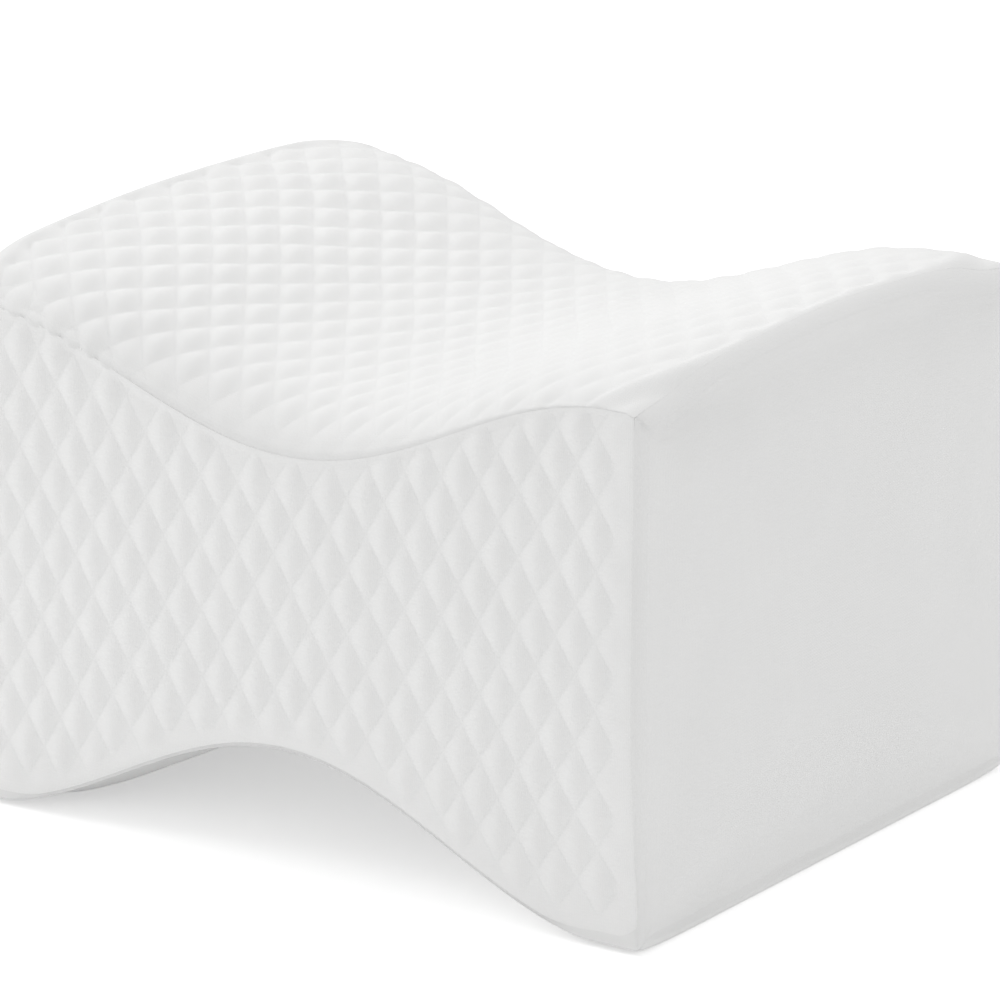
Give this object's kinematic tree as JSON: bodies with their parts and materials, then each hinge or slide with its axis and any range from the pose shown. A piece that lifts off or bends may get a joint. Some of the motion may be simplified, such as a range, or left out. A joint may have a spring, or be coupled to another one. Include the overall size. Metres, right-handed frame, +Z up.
{
  "type": "knee pillow",
  "caption": "Contoured knee pillow with a leg dip across the top, an arch underneath, quilted top and sides, and plain ends.",
  "frame": {"origin": "on the floor, under the middle of the pillow", "axes": "+X along the pillow's length to the end that the picture shows, +Y to its back, +Z up"},
  "size_m": [0.25, 0.2, 0.1656],
  "materials": {
    "quilted_knit": "soft white knit, quilted in small diamonds",
    "plain_knit": "smooth, matt white knit"
  },
  "bodies": {
    "root": {"cushion_body": "plain_knit", "top_panel": "quilted_knit", "front_panel": "quilted_knit", "back_panel": "quilted_knit"}
  },
  "joints": []
}
